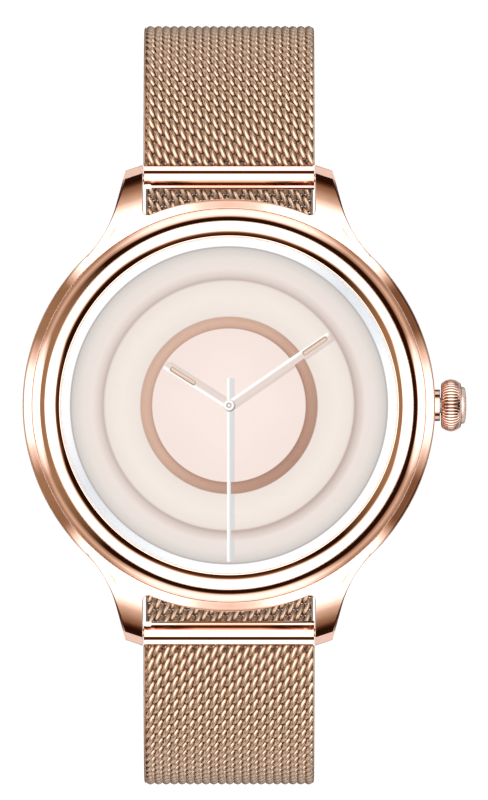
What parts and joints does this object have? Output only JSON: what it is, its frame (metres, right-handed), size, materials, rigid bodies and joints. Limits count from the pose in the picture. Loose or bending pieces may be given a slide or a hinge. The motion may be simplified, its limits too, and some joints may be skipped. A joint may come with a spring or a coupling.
{
  "type": "smartwatch",
  "caption": "Round smartwatch with a stepped polished bezel, a press-and-turn crown and a woven metal mesh band closed into a loop by a magnetic clasp.",
  "frame": {"origin": "centre of the clasp's flat outer face, on which the closed band stands", "axes": "+Z is the dial's outward normal, +Y points to 12 o'clock, +X points to the crown"},
  "size_m": [0.0452, 0.0782, 0.0596],
  "materials": {
    "case_metal": "polished rose gold plating on steel",
    "band_mesh": "woven wire mesh, rose gold plating",
    "steel": "plain turned or stamped steel",
    "cover_glass": "clear, flat, polished",
    "screen": "lit screen face, pale pink dial picture",
    "dark_lens": "tinted, polished",
    "black_plastic": "moulded, matt",
    "seal_rubber": "matt",
    "circuit_board": "solder mask",
    "cell_wrap": "foil pouch",
    "ribbon_film": "polyimide film",
    "gold_pad": "gold plated"
  },
  "bodies": {
    "watch_head": {"back_cover": "case_metal", "back_cover_gasket": "seal_rubber", "back_screw_1": "steel", "back_screw_2": "steel", "back_screw_3": "steel", "back_screw_4": "steel", "battery": "cell_wrap", "bezel_ring": "case_metal", "case_body": "case_metal", "charge_contact_1": "gold_pad", "charge_contact_2": "gold_pad", "cover_glass": "cover_glass", "crown_switch": "black_plastic", "crown_tube": "case_metal", "display_panel": "screen", "display_ribbon": "ribbon_film", "glass_gasket": "seal_rubber", "heart_rate_sensor": "circuit_board", "inner_chassis": "black_plastic", "main_board": "circuit_board", "sensor_lens": "dark_lens", "sensor_ribbon": "ribbon_film", "shield_can": "steel", "vibration_motor": "steel"},
    "crown_slider": {"crown_pusher": "steel"},
    "crown": {"crown_knob": "case_metal", "crown_shaft": "steel", "crown_clip": "steel", "crown_seal": "seal_rubber"},
    "upper_strap_1": {"upper_band_end": "case_metal", "upper_spring_bar": "steel", "upper_mesh_1": "band_mesh"},
    "upper_strap_2": {"upper_mesh_2": "band_mesh"},
    "upper_strap_3": {"upper_mesh_3": "band_mesh"},
    "upper_strap_4": {"upper_mesh_4": "band_mesh"},
    "upper_strap_5": {"upper_mesh_5": "band_mesh", "clasp_housing": "case_metal", "clasp_magnet": "steel", "lever_pin": "steel"},
    "upper_release": {"upper_release_pin": "steel"},
    "lower_strap_1": {"lower_band_end": "case_metal", "lower_spring_bar": "steel", "lower_mesh_1": "band_mesh"},
    "lower_strap_2": {"lower_mesh_2": "band_mesh"},
    "lower_strap_3": {"lower_mesh_3": "band_mesh"},
    "lower_strap_4": {"lower_mesh_4": "band_mesh"},
    "lower_strap_5": {"lower_mesh_5": "band_mesh", "band_keeper": "case_metal"},
    "lower_release": {"lower_release_pin": "steel"},
    "clasp_lever": {"lock_lever": "case_metal"}
  },
  "joints": [
    {"name": "upper_band_hinge", "type": "hinge", "parent": "watch_head", "child": "upper_strap_1", "pos_m": [0, 0.0232, 0.0515], "axis": [1, 0, 0], "range_deg": [0, 10.08]},
    {"name": "upper_band_flex_1", "type": "hinge", "parent": "upper_strap_1", "child": "upper_strap_2", "pos_m": [0, 0.03036, 0.04913], "axis": [1, 0, 0], "range_deg": [0, 42.48]},
    {"name": "upper_band_flex_2", "type": "hinge", "parent": "upper_strap_2", "child": "upper_strap_3", "pos_m": [0, 0.03778, 0.03944], "axis": [1, 0, 0], "range_deg": [0, 42.48]},
    {"name": "upper_band_flex_3", "type": "hinge", "parent": "upper_strap_3", "child": "upper_strap_4", "pos_m": [0, 0.03597, 0.01602], "axis": [1, 0, 0], "range_deg": [0, 42.48]},
    {"name": "upper_band_flex_4", "type": "hinge", "parent": "upper_strap_4", "child": "upper_strap_5", "pos_m": [0, 0.02314, 0.00428], "axis": [1, 0, 0], "range_deg": [0, 42.48]},
    {"name": "lower_band_hinge", "type": "hinge", "parent": "watch_head", "child": "lower_strap_1", "pos_m": [0, -0.0232, 0.0515], "axis": [1, 0, 0], "range_deg": [-10.08, 0]},
    {"name": "lower_band_flex_1", "type": "hinge", "parent": "lower_strap_1", "child": "lower_strap_2", "pos_m": [0, -0.03036, 0.04913], "axis": [1, 0, 0], "range_deg": [-42.48, 0]},
    {"name": "lower_band_flex_2", "type": "hinge", "parent": "lower_strap_2", "child": "lower_strap_3", "pos_m": [0, -0.03778, 0.03944], "axis": [1, 0, 0], "range_deg": [-42.48, 0]},
    {"name": "lower_band_flex_3", "type": "hinge", "parent": "lower_strap_3", "child": "lower_strap_4", "pos_m": [0, -0.03597, 0.01602], "axis": [1, 0, 0], "range_deg": [-42.48, 0]},
    {"name": "lower_band_flex_4", "type": "hinge", "parent": "lower_strap_4", "child": "lower_strap_5", "pos_m": [0, -0.02314, 0.00428], "axis": [1, 0, 0], "range_deg": [-42.48, 0]},
    {"name": "upper_release_slide", "type": "slide", "parent": "upper_strap_1", "child": "upper_release", "axis": [1, 0, 0], "range_m": [0, 0.0011], "stiffness_N_per_m": 300, "springref_m": -0.001},
    {"name": "lower_release_slide", "type": "slide", "parent": "lower_strap_1", "child": "lower_release", "axis": [1, 0, 0], "range_m": [0, 0.0011], "stiffness_N_per_m": 300, "springref_m": -0.001},
    {"name": "crown_press", "type": "slide", "parent": "watch_head", "child": "crown_slider", "axis": [-1, 0, 0], "range_m": [0, 0.0005], "stiffness_N_per_m": 1500, "springref_m": -0.0005},
    {"name": "crown_turn", "type": "hinge", "parent": "crown_slider", "child": "crown", "pos_m": [0.022, 0, 0.0543], "axis": [1, 0, 0], "continuous": true},
    {"name": "clasp_lever_hinge", "type": "hinge", "parent": "upper_strap_5", "child": "clasp_lever", "pos_m": [0, 0.01, 0.00085], "axis": [1, 0, 0], "range_deg": [0, 75]}
  ],
  "couplings": [
    {"joint": "upper_band_hinge", "follows": "upper_band_flex_2", "ratio": 0.23729},
    {"joint": "upper_band_flex_1", "follows": "upper_band_flex_2", "ratio": 1},
    {"joint": "upper_band_flex_3", "follows": "upper_band_flex_2", "ratio": 1},
    {"joint": "upper_band_flex_4", "follows": "upper_band_flex_2", "ratio": 1},
    {"joint": "lower_band_hinge", "follows": "upper_band_flex_2", "ratio": -0.23729},
    {"joint": "lower_band_flex_1", "follows": "upper_band_flex_2", "ratio": -1},
    {"joint": "lower_band_flex_2", "follows": "upper_band_flex_2", "ratio": -1},
    {"joint": "lower_band_flex_3", "follows": "upper_band_flex_2", "ratio": -1},
    {"joint": "lower_band_flex_4", "follows": "upper_band_flex_2", "ratio": -1}
  ]
}
